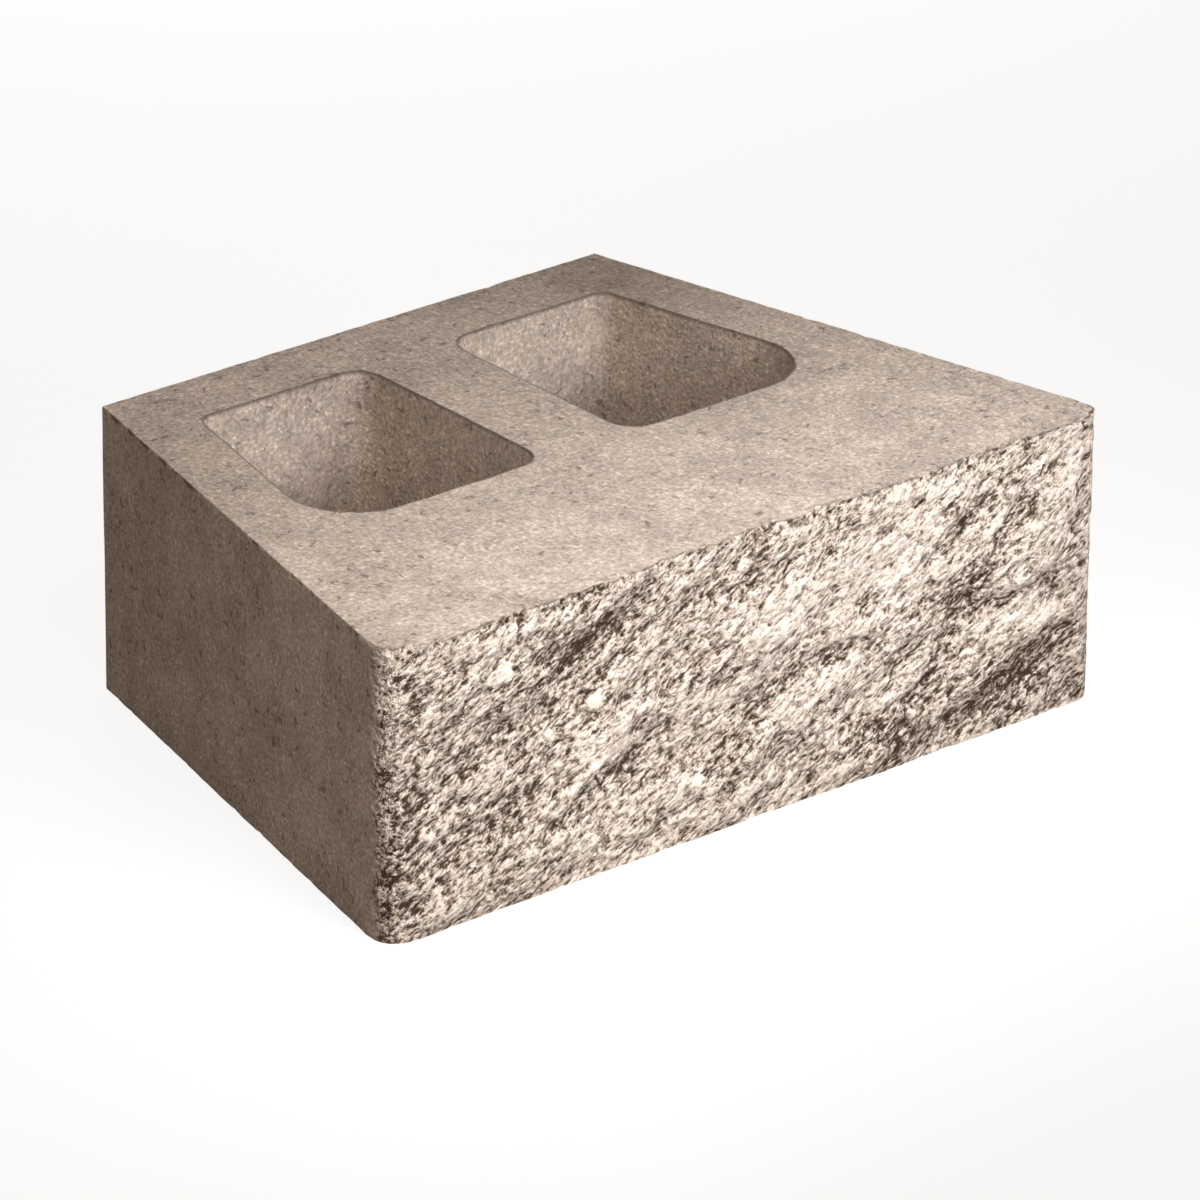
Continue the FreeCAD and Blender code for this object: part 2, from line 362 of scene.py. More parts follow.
def outer_loop():
    # Anticlockwise from the middle of the back: points and the mesh spacing beside each
    side_end = math.pi - SIDE_LEAN
    centre = np.array([-ROUND_END, FRONT + CORNER_ROUND])
    corner = np.array([-BACK_WIDTH / 2, BACK])
    tangent = centre + CORNER_ROUND * np.array([math.cos(side_end), math.sin(side_end)])
    near = tangent + (corner - tangent) * NEAR_REACH / np.linalg.norm(corner - tangent)
    left = [
        (line_run((0, BACK), corner, MOULDED_PITCH), MOULDED_PITCH),
        (line_run(corner, near, MOULDED_PITCH), MOULDED_PITCH),
        (line_run(near, tangent, NEAR_PITCH), NEAR_PITCH),
        (arc_run(centre, CORNER_ROUND, side_end, 1.5 * math.pi, SPLIT_PITCH), SPLIT_PITCH),
        (line_run((-ROUND_END, FRONT), (0, FRONT), SPLIT_PITCH), SPLIT_PITCH),
    ]
    points = np.vstack([run for run, _ in left])
    pitches = np.concatenate([np.full(len(run), pitch) for run, pitch in left])
    middle = np.array([[0.0, FRONT]])
    mirrored = points[:0:-1] * (-1, 1)
    loop = np.vstack([points, middle, mirrored])
    return loop, np.concatenate([pitches, [SPLIT_PITCH], pitches[:0:-1]])


def rounded_corner(before, corner, after, radius, pitch):
    # Arc that rounds one corner of a clockwise core outline, and the place where it ends
    before, corner, after = (np.array(point, float) for point in (before, corner, after))
    into = (corner - before) / np.linalg.norm(corner - before)
    out = (after - corner) / np.linalg.norm(after - corner)
    turn = math.acos(np.clip(into @ out, -1, 1))
    reach = radius * math.tan(turn / 2)
    start = corner - into * reach
    centre = start + radius * np.array([into[1], -into[0]])
    first = math.atan2(*(start - centre)[::-1])
    return arc_run(centre, radius, first, first - turn, pitch), corner + out * reach


def core_loop(sign):
    # Clockwise outline of a core at the top, so that the open space is on the outward side of the wall
    web = WEB_WALL / 2
    near = FRONT + FRONT_WALL
    far = BACK - BACK_WALL
    corners = [
        ((web, near), CORE_ROUND_WEB),
        ((web, far), CORE_ROUND_WEB),
        ((core_side(far), far), CORE_ROUND_BACK),
        ((core_side(near), near), CORE_ROUND_FACE),
    ]
    count = len(corners)
    rounds = []
    for index, (corner, radius) in enumerate(corners):
        before = corners[index - 1][0]
        after = corners[(index + 1) % count][0]
        rounds.append(rounded_corner(before, corner, after, radius, MOULDED_PITCH))
    runs = []
    for index, (arc, end) in enumerate(rounds):
        following = rounds[(index + 1) % count][0]
        runs += [arc, line_run(end, following[0], MOULDED_PITCH)]
    loop = np.vstack(runs)
    if sign < 0:
        loop = loop[::-1] * (-1, 1)
    return loop


def outward(loop):
    # Unit normals to the right of the way round
    along = np.roll(loop, -1, 0) - np.roll(loop, 1, 0)
    normal = np.stack([along[:, 1], -along[:, 0]], 1)
    return normal / np.linalg.norm(normal, axis=1)[:, None]


def way_round(loop):
    # Length of the way from the first point of a loop to each of its points
    lengths = np.linalg.norm(np.diff(loop, axis=0), axis=1)
    return np.concatenate([[0], np.cumsum(lengths)])


# Relief of the split face

solid = BVHTree.FromPolygons(
    [vertex.co.copy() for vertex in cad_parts[NODE].data.vertices],
    [tuple(face.vertices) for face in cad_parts[NODE].data.polygons])


def solid_relief(points, normals):
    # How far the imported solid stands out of, or lies behind, each point along its normal
    heights = np.zeros(len(points))
    for index, (point, normal) in enumerate(zip(points, normals)):
        way = Vector(normal)
        start = Vector(point) + way * PROBE
        start.z = min(max(start.z, PROBE_EDGE), HEIGHT - PROBE_EDGE)
        hit, _, _, distance = solid.ray_cast(start * MM, -way)
        if hit is not None:
            heights[index] = PROBE - distance / MM
    return heights


def strayed(places):
    # Places moved a little along the split and up it, so that straight facet edges read as ragged ones
    u = places[:, 0] / STRAY_REACH
    v = places[:, 2] / STRAY_REACH
    moved = places.copy()
    on_face = np.clip((ROUND_END - np.abs(places[:, 0])) / STRAY_REACH, 0, 1)
    moved[:, 0] += STRAY * on_face * layered_noise(u, v, SEED_STRAY_ALONG, fade=STRAY_FADE)
    moved[:, 2] += STRAY * on_face * layered_noise(u, v, SEED_STRAY_UP, fade=STRAY_FADE)
    return moved


def ledge_relief(face, rise):
    # Lips of the ledges, where the face stands out above and draws back below, and the shade under them
    wobble = LEDGE_WOBBLE * layered_noise(
        face / LEDGE_WOBBLE_SIZE, rise / LEDGE_WOBBLE_SIZE, SEED_LEDGES, fade=LEDGE_WOBBLE_FADE)
    lips = np.zeros_like(face)
    shade = np.zeros_like(face)
    for from_along, from_up, to_along, to_up, strength in LEDGES:
        run_x = (to_along - from_along) * ROUND_END
        run_z = (to_up - from_up) * HEIGHT
        from_x = face - from_along * ROUND_END
        from_z = rise - from_up * HEIGHT
        length = math.hypot(run_x, run_z)
        along = (from_x * run_x + from_z * run_z) / length
        above = (from_z * run_x - from_x * run_z) / length + wobble
        past = np.maximum(0, np.maximum(-along, along - length))
        fade = strength * np.exp(-(past / LEDGE_REACH) ** 2)
        lips += fade * np.exp(-np.abs(above) / LEDGE_REACH) * np.clip(above / LEDGE_LIP, -1, 1)
        shade += fade * np.exp(-((above + LEDGE_LIP / 2) / LEDGE_LIP) ** 2)
    return lips, shade


def pebble_relief(face, rise):
    # Height of the round pebbles in millimetres, and 1 on each of them
    uneven = layered_noise(face / PEBBLE_UNEVEN_SIZE, rise / PEBBLE_UNEVEN_SIZE, SEED_PEBBLES)
    height = np.zeros_like(face)
    for along, up, radius in PEBBLES:
        reach = radius * (1 + PEBBLE_UNEVEN * uneven)
        crown = np.clip(1 - ((face - along) ** 2 + (rise - up) ** 2) / reach ** 2, 0, 1)
        height += PEBBLE_RISE * radius * np.sqrt(crown)
    return height, np.clip(height, 0, 1)


def along_ridges(face, rise):
    # Place along the slanting ridges of the split, and across them
    along = face * math.cos(RIDGE_ANGLE) + rise * math.sin(RIDGE_ANGLE)
    across = rise * math.cos(RIDGE_ANGLE) - face * math.sin(RIDGE_ANGLE)
    return along, across


def broken_relief(face, rise):
    # Small lumps and chips of the split, at a place along the face and up it
    warped_face = face + WARP * layered_noise(face / WARP_SIZE, rise / WARP_SIZE, SEED_WARP_ALONG)
    warped_rise = rise + WARP * layered_noise(face / WARP_SIZE, rise / WARP_SIZE, SEED_WARP_UP)
    along, across = along_ridges(warped_face, warped_rise)
    along = along / CHIP_STRETCH
    relief = LUMP_HEIGHT * layered_noise(
        along / LUMP_SIZE, across / LUMP_SIZE, SEED_LUMPS, LUMP_LAYERS, LUMP_FADE)
    for index, (cell, height, roundness) in enumerate(CHIP_LAYERS):
        seed = SEED_CHIPS + SEED_CHIPS_STEP * index
        relief += height * broken_cells(along / cell, across / cell, seed, roundness)
    return relief


def edge_rows(pitch):
    # Heights of the vertices of a column: even on the split, and else close together at the arrises
    if pitch <= SPLIT_PITCH:
        return np.linspace(0, HEIGHT, round(HEIGHT / pitch) + 1)
    edge = EDGE_ROWS[-1]
    inner = np.linspace(edge, HEIGHT - edge, round(HEIGHT / pitch / ROW_SPREAD) + 1)[1:-1]
    return np.concatenate([EDGE_ROWS, inner, [HEIGHT - rise for rise in reversed(EDGE_ROWS)]])


def arris_wear(along, rise):
    # How far a moulded wall draws in beside its top and bottom edges: rounding and a few small chips
    from_edge = np.minimum(rise, HEIGHT - rise)
    top = (rise > HEIGHT / 2) * TOP_SHIFT
    chips = layered_noise(along / WEAR_CHIP_SIZE + top, top, SEED_WEAR_CHIPS)
    chips = np.clip(chips - WEAR_CHIP_LIMIT, 0, None)
    chips = chips * np.where(top > 0, WEAR_CHIP_TOP, WEAR_CHIP_BOTTOM)
    depth = WEAR_DEPTH + WEAR_CHANGE * smooth_noise(along / WEAR_SIZE + top, top, SEED_WEAR) + chips
    return depth * np.clip(1 - from_edge / (ARRIS + chips), 0, 1) ** 2


def notch_painted_shade(along, rise):
    # Painted shade of small notches just under the top arris of a moulded wall
    notches = np.clip(layered_noise(along / NOTCH_SIZE, rise * 0, SEED_NOTCHES) - NOTCH_LIMIT, 0, 1)
    below = np.where(rise < HEIGHT, np.clip(1 - (HEIGHT - rise) / NOTCH_REACH, 0, 1), 0)
    return -NOTCH_PAINTED_SHADE * notches * below


def corner_painted_shade(face, rise):
    # Painted shade of small notches on the rounded corners, where the split gives way to the moulded
    # sides
    wide, high = CORNER_SIZE
    notches = np.clip(layered_noise(face / wide, rise / high, SEED_CORNERS) - CORNER_LIMIT, 0, 1)
    beside = np.clip(1 - np.abs(np.abs(face) - ROUND_END - CORNER_PLACE) / CORNER_REACH, 0, 1)
    return -CORNER_PAINTED_SHADE * notches * beside


def painted_patches_and_blotches(face, rise):
    # Patches of painted shade and painted light, over random blotches of tone
    along, across = along_ridges(face, rise)
    tone = BLOTCH * layered_noise(
        along / BLOTCH_SIZE / BLOTCH_STRETCH, across / BLOTCH_SIZE, SEED_BLOTCH, fade=BLOTCH_FADE)
    for middle, level, reach, height, amount in PAINTED_SHADE_AND_LIGHT_PATCHES:
        tone += amount * np.exp(-((face - middle) / reach) ** 2 - ((rise - level) / height) ** 2)
    return tone


def split_share(face, rise):
    # 1 on the broken face, with a ragged end where the rounded front corners meet the sides
    ragged = END_RAGGED * layered_noise(np.sign(face) * END_SHIFT, rise / END_SIZE, SEED_ENDS)
    return np.clip((ROUND_END + END_PAST + ragged - np.abs(face)) / END_FADE, 0, 1)


def blurred(grid, reach):
    # Mean over a square of the grid, with the edges held
    size = 2 * reach + 1
    for axis in (0, 1):
        padding = [(reach + 1, reach) if axis == side else (0, 0) for side in (0, 1)]
        total = np.cumsum(np.pad(grid, padding, mode="edge"), axis=axis)
        upper = np.take(total, range(size, total.shape[axis]), axis=axis)
        lower = np.take(total, range(0, total.shape[axis] - size), axis=axis)
        grid = (upper - lower) / size
    return grid


# Mesh of the block

def stitch(left, right, first_left, first_right):
    # Triangles between two columns of vertices that need not have the same heights
    faces = []
    on_left = 0
    on_right = 0
    last_left = len(left) - 1
    last_right = len(right) - 1
    while on_left < last_left or on_right < last_right:
        low_left = first_left + on_left
        low_right = first_right + on_right
        left_is_next = on_left < last_left and (
            on_right == last_right or left[on_left + 1] <= right[on_right + 1])
        if left_is_next:
            faces.append((low_left, low_right, low_left + 1))
            on_left += 1
        else:
            faces.append((low_left, low_right, low_right + 1))
            on_right += 1
    return faces


class Skin:
    # Vertices and triangles of the block, with the share of split and the tone at each vertex
    def __init__(self):
        self.points = []
        self.split = []
        self.tone = []
        self.faces = []
        self.count = 0

    def add(self, points, split, tone):
        first = self.count
        self.points.append(points)
        self.split.append(split)
        self.tone.append(tone)
        self.count += len(points)
        return first

    def join(self, columns):
        for (first, rows), (other, other_rows) in zip(columns, columns[1:] + columns[:1]):
            self.faces += stitch(rows, other_rows, first, other)


def split_surface(loop, normals, along, rows):
    # Columns of points of the split and of its rounded ends, with the share of split and the tone
    face, rise = np.meshgrid(along, rows, indexing="ij")
    places = np.concatenate([np.repeat(loop, len(rows), 0), rise.reshape(-1, 1)], 1)
    ways = np.concatenate([np.repeat(normals, len(rows), 0), np.zeros((rise.size, 1))], 1)
    share = split_share(face, rise)

    # Height over the plan: the solid's own forms, then small relief, bites and wear
    base = blurred(solid_relief(strayed(places), ways).reshape(share.shape), FACET_BLUR)
    lips, shade = ledge_relief(face, rise)
    pebbles, on_pebble = pebble_relief(face, rise)
    relief = broken_relief(face, rise) + LEDGE_DEPTH * lips
    relief = relief * (1 - PEBBLE_CALM * on_pebble) + pebbles
    near_top = np.exp((rise - HEIGHT) / BITE_REACH)
    bite_noise = layered_noise(face / BITE_SIZE, rise * 0, SEED_BITES, fade=BITE_FADE)
    bites = near_top * BITE_DEPTH * np.clip(bite_noise, BITE_LEAST, 1)
    held = np.clip(rise / HELD_RISE, HELD_LEAST, 1)
    held = held * np.clip((ROUND_END + HELD_PAST - np.abs(face)) / HELD_FADE, HELD_LEAST, 1)
    height = base + share * (relief * held - bites) - (1 - share) * arris_wear(face, rise)
    height = np.minimum(height, SPLIT_BULGE)

    # Painted shade and light of the patches, random blotches, and painted shade of the corner notches
    tone = painted_patches_and_blotches(face, rise) + corner_painted_shade(face, rise)
    # Pale pebbles, and painted shade under the ledges
    tone += PEBBLE_TONE * on_pebble - LEDGE_PAINTED_SHADE * shade
    # Painted light on places that stand out, and painted shade in sunken ones
    painted_relief_light_and_shade = sum(weight * (height - blurred(height, reach)) for reach, weight in TONE_REACHES)
    tone = share * (tone + np.clip(painted_relief_light_and_shade, TONE_LOW, TONE_HIGH))

    placed = places + ways * height.reshape(-1, 1)
    placed[:, 2] -= (share * np.clip(bites, 0, None)).ravel()
    return placed.reshape(*share.shape, 3), share, tone


def outer_wall(skin):
    loop, pitches = outer_loop()
    normals = outward(loop)
    along = way_round(loop)
    face = along - along[len(loop) // 2]
    on_split = pitches <= SPLIT_PITCH
    first_split = np.argmax(on_split)
    rows = edge_rows(SPLIT_PITCH)
    placed, share, tone = split_surface(loop[on_split], normals[on_split], face[on_split], rows)
    columns = []
    for index, pitch in enumerate(pitches):
        if on_split[index]:
            own = index - first_split
            columns.append((skin.add(placed[own], share[own], tone[own]), rows))
            continue
        levels = edge_rows(pitch)
        reach = np.full(len(levels), along[index])
        waves = layered_noise(reach / WALL_WAVE_SIZE, levels / WALL_WAVE_SIZE, SEED_WALL_WAVES)
        drawn_in = arris_wear(reach, levels) - WALL_WAVE * waves
        ring = loop[index] - normals[index] * drawn_in[:, None]
        points = np.column_stack([ring, levels])
        columns.append((skin.add(points, np.zeros(len(levels)), notch_painted_shade(reach, levels)), levels))
    skin.join(columns)
    return columns


def core_wall(skin, sign):
    loop = core_loop(sign)
    levels = edge_rows(MOULDED_PITCH)
    draft = (HEIGHT - levels) * CORE_DRAFT
    rim = -np.clip(1 - (HEIGHT - levels) / RIM_REACH, 0, 1)
    columns = []
    for place, normal, length in zip(loop, outward(loop), way_round(loop)):
        reach = np.full(len(levels), length + CORE_SHIFT * sign)
        waves = layered_noise(reach / CORE_WAVE_SIZE, levels / CORE_WAVE_SIZE, SEED_CORE_WAVES)
        drawn_in = arris_wear(reach, levels) - CORE_WAVE * waves
        ring = place + normal * (draft - drawn_in)[:, None]
        columns.append((skin.add(np.column_stack([ring, levels]), np.zeros(len(levels)), rim), levels))
    skin.join(columns)
    return columns


def inside(loop, points):
    # Whether each point lies inside a closed loop
    crossed = np.zeros(len(points), bool)
    for (ax, ay), (bx, by) in zip(loop, np.roll(loop, -1, 0)):
        if ay == by:
            continue
        level = (ay > points[:, 1]) != (by > points[:, 1])
        crossed ^= level & (points[:, 0] < (bx - ax) * (points[:, 1] - ay) / (by - ay) + ax)
    return crossed


def edge_distance(loops, points):
    nearest = np.full(len(points), np.inf)
    for loop in loops:
        for start, end in zip(loop, np.roll(loop, -1, 0)):
            run = end - start
            share = np.clip((points - start) @ run / (run @ run), 0, 1)
            nearest = np.minimum(nearest, np.linalg.norm(points - start - share[:, None] * run, axis=1))
    return nearest


def grid_points(low, high, pitch):
    return np.stack(np.meshgrid(
        np.arange(low[0], high[0], pitch), np.arange(low[1], high[1], pitch)), -1).reshape(-1, 2)


def cap_points(loops):
    # Places inside a bed: a close ring along each edge, then a grid that opens out from the split
    outer = loops[0]
    rings = np.vstack([loop - outward(loop) * ARRIS for loop in loops])
    low = outer.min(0)
    high = outer.max(0)
    close_end = FRONT + NEAR_REACH
    close = grid_points(low, (high[0], close_end), NEAR_PITCH)
    wide = grid_points(low, high, BED_PITCH)
    wide = wide[wide[:, 1] > close_end]
    points = np.vstack([rings, close, wide])
    keep = inside(outer, points)
    for loop in loops[1:]:
        keep &= ~inside(loop, points)
    margin = np.full(len(points), GRID_MARGIN)
    margin[:len(rings)] = RING_MARGIN
    points = points[keep]
    return points[edge_distance(loops, points) > margin[keep]]


def bed_triangles(loops, filling):
    # Triangles between the loops, as places in the list of the loops' points and then the filling's
    coords = [Vector(point) for point in np.vstack(loops + [filling])]
    edges = []
    start = 0
    for loop in loops:
        edges += [(start + step, start + (step + 1) % len(loop)) for step in range(len(loop))]
        start += len(loop)
    within_edges = 1
    weld = 1e-7
    placed, _, faces, sources, _, _ = delaunay_2d_cdt(coords, edges, [], within_edges, weld, True)
    faces = np.array(faces)
    centres = np.array([point[:2] for point in placed])[faces].mean(1)
    keep = inside(loops[0], centres) & ~inside(loops[1], centres) & ~inside(loops[2], centres)
    return [[sources[corner][0] for corner in face] for face in faces[keep]]


def bed(skin, columns, top):
    # Flat bed between the outer wall and the two cores
    cloud = np.vstack(skin.points)
    rims = [[first + (len(rows) - 1 if top else 0) for first, rows in ring] for ring in columns]
    loops = [cloud[rim, :2] for rim in rims]
    filling = cap_points(loops)
    x, y = filling.T

    drop = BED_DROP * np.clip(1 - edge_distance(loops, filling) / (2 * ARRIS), 0, 1) ** 2
    seed = SEED_TOP_WAVES if top else SEED_BOTTOM_WAVES
    waves = BED_WAVE * layered_noise(x / BED_WAVE_SIZE, y / BED_WAVE_SIZE, seed)
    dips = waves.clip(None, 0)
    level = HEIGHT - drop + dips if top else drop - dips

    rim_split = np.concatenate(skin.split)[rims[0]] > 0.5
    from_split = np.linalg.norm(filling[:, None] - loops[0][rim_split][None], axis=2).min(1)
    ragged = BED_BROKEN + BED_BROKEN_CHANGE * layered_noise(
        x / BED_BROKEN_SIZE, y / BED_BROKEN_SIZE, SEED_BED_BROKEN)
    broken = np.clip(1 - from_split / np.maximum(ragged, BED_BROKEN_LEAST), 0, 1)
    # Darker places on the top
    top_darkening = np.zeros(len(filling))
    for middle_x, middle_y, reach, amount in TOP_DARKER_PLACES if top else ():
        top_darkening += amount * np.exp(-((x - middle_x) ** 2 + (y - middle_y) ** 2) / reach ** 2)

    first = skin.add(np.column_stack([filling, level]), broken, top_darkening)
    owners = sum(rims, []) + list(range(first, first + len(filling)))
    for face in bed_triangles(loops, filling):
        corners = [owners[corner] for corner in face]
        skin.faces.append(tuple(corners if top else reversed(corners)))


def block_skin():
    skin = Skin()
    columns = [outer_wall(skin), core_wall(skin, 1), core_wall(skin, -1)]
    bed(skin, columns, True)
    bed(skin, columns, False)
    mesh = bpy.data.meshes.new("block_skin")
    mesh.from_pydata((np.vstack(skin.points) * MM).tolist(), [], skin.faces)
    # The tone carries painted shade and painted light as well as random tone, pale pebbles and darker
    # places
    for name, values in (("split", skin.split), ("tone", skin.tone)):
        layer = mesh.attributes.new(name, "FLOAT", "POINT")
        layer.data.foreach_set("value", np.concatenate(values).astype(np.float32))
    mesh.validate()
    mesh.shade_smooth()
    mesh.set_sharp_from_angle(angle=SMOOTH_ANGLE)
    block = bpy.data.objects.new("block_skin", mesh)
    bpy.context.scene.collection.objects.link(block)
    return block


# Materials. Shades are linear lightness, each at a level of the noise that it colours.

ROUGHNESS = 0.92
SPECULAR = 0.2

# Sand-beige: how much redder and less blue than grey it is on the screen's scale, and its limits
TINT_RED = 0.056
TINT_BLUE = 0.045
TINT_MOST_RED = 0.98
TINT_LEAST_BLUE = 0.04

# Curve from linear lightness to the screen's scale
SCREEN_FACTOR = 1.055
SCREEN_OFFSET = 0.055
SCREEN_POWER = 2.4

# Noises: size in millimetres, detail, roughness and, where it has one, swirl. All of them are about
# NOISE_MIDDLE in the mean.
SAND_NOISE = (2.1, 1.0, 0.7)
CLOUD_NOISE = (45.0, 4.0, 0.85)
WORN_NOISE = (5.0, 2.0, 0.6, 0.6)
GRAIN_NOISE = (2.15, 2.4, 0.82)
NOISE_MIDDLE = 0.5

# Moulded skin: shades of the sand, factors of the clouds, and the levels, share and shade of what is
# laid over them
SAND_SHADES = ((0.30, 0.38), (0.5, 0.52), (0.68, 0.66), (0.76, 0.92))
CLOUD_FACTORS = ((0.40, 0.8), (0.60, 1.05))
# Dark pits: painted shade of small pits that the mesh does not have
PIT_GATHERING = 0.25
PIT_LEVELS = (0.503, 0.556)
PIT_SHARE = 0.7
PAINTED_PIT_SHADE = 0.14
PALE_LEVELS = (0.33, 0.28)
PALE_SHARE = 0.6
PALE_SHADE = 0.82
# Dark marks from negative tone: painted shade of the notches, the dark line round the cores and the
# darker places on the top
DARK_MARK_SHARE = 0.8
DARK_MARK_SHADE = 0.08

# Broken face: shades of the grain, dark in its low gaps with painted shade and pale on its high grains
# with painted light, over the stone's own grain
GRAIN_SHADES = ((0.324, 0.03), (0.421, 0.21), (0.5, 0.47), (0.581, 0.70), (0.66, 0.88))

# Fine relief in millimetres
SAND_RELIEF = 1.0
GRAIN_RELIEF = 4.0
BUMP_STRENGTH = 0.8


def add_node(tree, kind, inputs=None, **settings):
    # New shader node with its settings, its links and its plain input values
    made = tree.nodes.new(kind)
    for name, value in settings.items():
        setattr(made, name, value)
    for name, value in (inputs or {}).items():
        if isinstance(value, bpy.types.NodeSocket):
            tree.links.new(value, made.inputs[name])
        else:
            made.inputs[name].default_value = value
    return made


def math_node(tree, operation, first, second):
    return add_node(tree, "ShaderNodeMath", {0: first, 1: second}, operation=operation).outputs[0]


def mapped(tree, value, low, high, to_low=0.0, to_high=1.0):
    made = add_node(tree, "ShaderNodeMapRange", {
        "Value": value, "From Min": low, "From Max": high, "To Min": to_low, "To Max": to_high},
        interpolation_type="SMOOTHSTEP")
    return made.outputs["Result"]


def mixed(tree, share, first, second, blend="MIX"):
    # Mix of two colours: inputs 0, 6 and 7 are the share and the colours, and output 2 is the mix
    made = add_node(
        tree, "ShaderNodeMix", {0: share, 6: first, 7: second}, data_type="RGBA", blend_type=blend)
    return made.outputs[2]


def noise(tree, place, size, detail, roughness, swirl=0.0):
    # Soft noise from 0 to 1 whose largest forms are about the given size in millimetres
    made = add_node(tree, "ShaderNodeTexNoise", {
        "Vector": place, "Scale": 1 / (size * MM), "Detail": detail, "Roughness": roughness,
        "Distortion": swirl})
    return made.outputs["Fac"]


def shade_ramp(tree, value, stops):
    made = add_node(tree, "ShaderNodeValToRGB", {"Fac": value})
    ramp = made.color_ramp
    while len(ramp.elements) < len(stops):
        ramp.elements.new(1.0)
    for element, (place, colour) in zip(ramp.elements, stops):
        element.position = place
        element.color = colour
    return made.outputs["Color"]


def tint(shade):
    # Sand-beige of the given linear lightness, through the screen's scale and back
    shown = SCREEN_FACTOR * shade ** (1 / SCREEN_POWER) - SCREEN_OFFSET
    levels = [min(shown + TINT_RED, TINT_MOST_RED), shown, max(shown - TINT_BLUE, TINT_LEAST_BLUE)]
    return (*(((level + SCREEN_OFFSET) / SCREEN_FACTOR) ** SCREEN_POWER for level in levels), 1)


def tinted(shades):
    return [(level, tint(shade)) for level, shade in shades]


def moulded_colour(tree, place, tone, sand):
    # Sand grain, clouds, uneven dark pits of painted shade that gather in the darker clouds, dark marks
    # with the painted shade of notches, and pale grains
    cloud = noise(tree, place, *CLOUD_NOISE)
    greys = [(level, (factor, factor, factor, 1)) for level, factor in CLOUD_FACTORS]
    clouds = shade_ramp(tree, cloud, greys)
    colour = mixed(tree, 1.0, shade_ramp(tree, sand, tinted(SAND_SHADES)), clouds, "MULTIPLY")
    worn = noise(tree, place, *WORN_NOISE)
    # Painted shade of small pits, gathered in the darker clouds
    gathered = math_node(tree, "SUBTRACT", worn, math_node(tree, "MULTIPLY", cloud, PIT_GATHERING))
    painted_pit_shade = math_node(tree, "MULTIPLY", mapped(tree, gathered, *PIT_LEVELS), PIT_SHARE)
    # Painted shade of the notches, with the dark line round the cores and the darker places on the top
    notch_shade_and_dark_marks = mapped(tree, tone, 0.0, -1.0, 0.0, DARK_MARK_SHARE)
    pale = math_node(tree, "MULTIPLY", mapped(tree, worn, *PALE_LEVELS), PALE_SHARE)
    for share, shade in ((painted_pit_shade, PAINTED_PIT_SHADE), (notch_shade_and_dark_marks, DARK_MARK_SHADE), (pale, PALE_SHADE)):
        colour = mixed(tree, share, colour, tint(shade))
    return colour


def broken_colour(tree, tone, grain):
    # Streaky grain, from dark gaps to pale stone, raised or lowered by the tone of the place. The same
    # noise raises the bump, so the dark gaps are painted shade and the pale tops painted light, over the
    # stone's own grain.
    contrast = mapped(tree, tone, DARK_TONE, BRIGHT_TONE, DARK_CONTRAST, BRIGHT_CONTRAST)
    speckle = math_node(tree, "MULTIPLY", math_node(tree, "SUBTRACT", grain, NOISE_MIDDLE), contrast)
    centred = math_node(tree, "ADD", speckle, NOISE_MIDDLE)
    level = add_node(
        tree, "ShaderNodeMath", {0: tone, 1: TONE_SHARE, 2: centred}, operation="MULTIPLY_ADD")
    return shade_ramp(tree, level.outputs[0], tinted(GRAIN_SHADES))


def concrete_material():
    material = bpy.data.materials.new(SLOT)
    material.use_nodes = True
    tree = material.node_tree
    shader = tree.nodes["Principled BSDF"]
    shader.inputs["Roughness"].default_value = ROUGHNESS
    shader.inputs["Specular IOR Level"].default_value = SPECULAR
    place = add_node(tree, "ShaderNodeTexCoord").outputs["Object"]
    split = add_node(tree, "ShaderNodeAttribute", attribute_name="split").outputs["Fac"]
    tone = add_node(tree, "ShaderNodeAttribute", attribute_name="tone").outputs["Fac"]
    turned = add_node(tree, "ShaderNodeMapping", {"Vector": place, "Rotation": (0, RIDGE_ANGLE, 0)})
    ridged = add_node(tree, "ShaderNodeVectorMath", {
        0: turned.outputs["Vector"], 1: (1 / GRAIN_STRETCH, 1, 1)}, operation="MULTIPLY")
    sand = noise(tree, place, *SAND_NOISE)
    grain = noise(tree, ridged.outputs["Vector"], *GRAIN_NOISE)
    skin = moulded_colour(tree, place, tone, sand)
    colour = mixed(tree, split, skin, broken_colour(tree, tone, grain))
    tree.links.new(colour, shader.inputs["Base Color"])
    relief = add_node(tree, "ShaderNodeMix", {
        0: split, 2: math_node(tree, "MULTIPLY", sand, SAND_RELIEF),
        3: math_node(tree, "MULTIPLY", grain, GRAIN_RELIEF)})
    bump = add_node(tree, "ShaderNodeBump", {
        "Height": relief.outputs[0], "Strength": BUMP_STRENGTH, "Distance": MM})
    tree.links.new(bump.outputs["Normal"], shader.inputs["Normal"])
    return material


def seen_by_camera(tree):
    # 1 for rays from the camera and for mirror or clear rays, 0 for light that bounces
    path = add_node(tree, "ShaderNodeLightPath").outputs
    seen = math_node(tree, "MAXIMUM", path["Is Camera Ray"], path["Is Glossy Ray"])
    return math_node(tree, "MAXIMUM", seen, path["Is Transmission Ray"])


# Stage, light and camera. Lengths of the floor and of the lamps are in metres.

FLOOR_REACH = 8.0
FLOOR_GLOW = 0.86
FLOOR_SEEN = 0.2
FLOOR_BOUNCE = (0.21, 0.178, 0.15)
AMBIENT = (0.123, 0.102, 0.086)

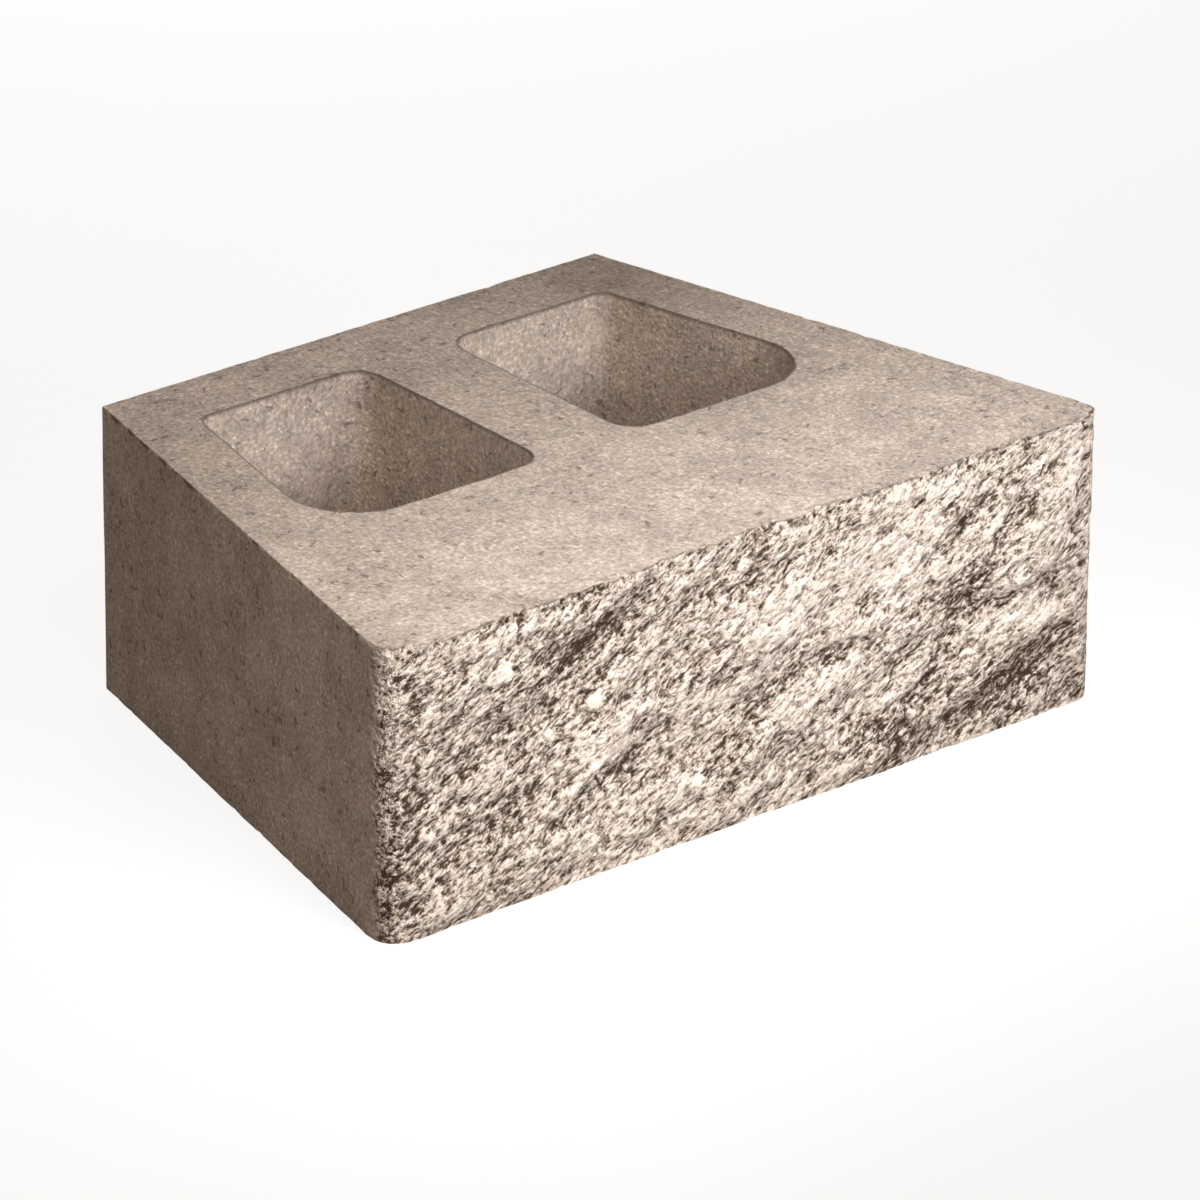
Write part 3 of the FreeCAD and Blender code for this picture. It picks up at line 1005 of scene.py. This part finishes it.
# Soft lamps: name, place, aim, size, watts, spread in degrees and colour
WHITE = (1, 1, 1)
WARM = (1.0, 0.84, 0.7)
MILD = (1.0, 0.93, 0.86)
LAMPS = (
    ("key", (0.03, -0.62, 0.345), (-0.03, -0.16, 0.08), (0.70, 0.20), 0.83, 52, WHITE),
    ("top_fill", (-0.12, -0.42, 0.85), (0.0, -0.16, 0.12), (0.5, 0.2), 0.25, 56, WHITE),
    ("strip_fill", (0.02, -0.21, 0.95), (0.02, -0.10, 0.15), (0.5, 0.12), 0.026, 14, WHITE),
    ("left_fill", (-0.75, -0.62, 1.0), (-0.05, 0.0, 0.1), (0.6, 0.6), 2.05, 120, WARM),
    ("back_fill", (1.0, 1.5, 0.3), (0.0, 0.1, 0.08), (0.8, 0.4), 8.0, 120, MILD),
)

# Camera solved from the block's edges in the photograph, for an image as wide as it is high. Its far
# limit is in metres, and its other lengths are in millimetres.
CAMERA_AIM = (-28.8, -70.0, 93.2)
CAMERA_AZIMUTH = math.radians(-39.806)
CAMERA_ELEVATION = math.radians(24.786)
CAMERA_ROLL = math.radians(-0.536)
CAMERA_DISTANCE = 4393.9
CAMERA_LENS = 278.91
CAMERA_SENSOR = 36.0
CAMERA_FAR = 100


def floor_sheet():
    reach = FLOOR_REACH
    mesh = bpy.data.meshes.new("floor")
    corners = [(-reach, -reach, 0), (reach, -reach, 0), (reach, reach, 0), (-reach, reach, 0)]
    mesh.from_pydata(corners, [], [(0, 1, 2, 3)])
    material = bpy.data.materials.new("floor")
    material.use_nodes = True
    tree = material.node_tree
    tree.nodes.remove(tree.nodes["Principled BSDF"])
    seen = seen_by_camera(tree)
    glow = add_node(tree, "ShaderNodeEmission", {"Color": (*WHITE, 1), "Strength": FLOOR_GLOW})
    pale = add_node(tree, "ShaderNodeBsdfDiffuse", {"Color": (FLOOR_SEEN, FLOOR_SEEN, FLOOR_SEEN, 1)})
    dull = add_node(tree, "ShaderNodeBsdfDiffuse", {"Color": (*FLOOR_BOUNCE, 1)})
    bright = add_node(tree, "ShaderNodeAddShader", {0: glow.outputs[0], 1: pale.outputs[0]})
    surface = add_node(tree, "ShaderNodeMixShader", {0: seen, 1: dull.outputs[0], 2: bright.outputs[0]})
    tree.links.new(surface.outputs[0], tree.nodes["Material Output"].inputs["Surface"])
    mesh.materials.append(material)
    floor = bpy.data.objects.new("floor", mesh)
    bpy.context.scene.collection.objects.link(floor)
    return floor


def studio_world():
    world = bpy.data.worlds.new("studio")
    world.use_nodes = True
    tree = world.node_tree
    around = tree.nodes["Background"]
    around.inputs["Color"].default_value = (*AMBIENT, 1)
    white = add_node(tree, "ShaderNodeBackground", {"Color": (*WHITE, 1)})
    surface = add_node(tree, "ShaderNodeMixShader", {
        0: seen_by_camera(tree), 1: around.outputs[0], 2: white.outputs[0]})
    tree.links.new(surface.outputs[0], tree.nodes["World Output"].inputs["Surface"])
    bpy.context.scene.world = world


def soft_lamp(name, place, aim, size, watts, spread, colour):
    lamp = bpy.data.lights.new(name, "AREA")
    lamp.color = colour
    lamp.shape = "RECTANGLE"
    lamp.size, lamp.size_y = size
    lamp.energy = watts
    lamp.spread = math.radians(spread)
    holder = bpy.data.objects.new(name, lamp)
    bpy.context.scene.collection.objects.link(holder)
    holder.location = place
    holder.rotation_euler = (Vector(aim) - Vector(place)).to_track_quat("-Z", "Y").to_euler()


def place_camera():
    level = math.cos(CAMERA_ELEVATION)
    backward = Vector((
        math.sin(CAMERA_AZIMUTH) * level, -math.cos(CAMERA_AZIMUTH) * level, math.sin(CAMERA_ELEVATION)))
    right = (-backward).cross(Vector((0, 0, 1))).normalized()
    up = backward.cross(right)
    rolled_right = math.cos(CAMERA_ROLL) * right - math.sin(CAMERA_ROLL) * up
    rolled_up = math.sin(CAMERA_ROLL) * right + math.cos(CAMERA_ROLL) * up
    camera = bpy.data.cameras.new("camera")
    camera.sensor_width = CAMERA_SENSOR
    camera.lens = CAMERA_LENS
    camera.clip_end = CAMERA_FAR
    holder = bpy.data.objects.new("camera", camera)
    bpy.context.scene.collection.objects.link(holder)
    turn = Matrix((rolled_right, rolled_up, backward)).transposed().to_4x4()
    place = (Vector(CAMERA_AIM) + backward * CAMERA_DISTANCE) * MM
    holder.matrix_world = Matrix.Translation(place) @ turn
    bpy.context.scene.camera = holder


block = block_skin()
block.data.materials.append(concrete_material())
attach(block, "root")
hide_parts(NODE)
floor_sheet()
studio_world()
for settings in LAMPS:
    soft_lamp(*settings)
place_camera()
bpy.context.scene.view_settings.view_transform = "Standard"
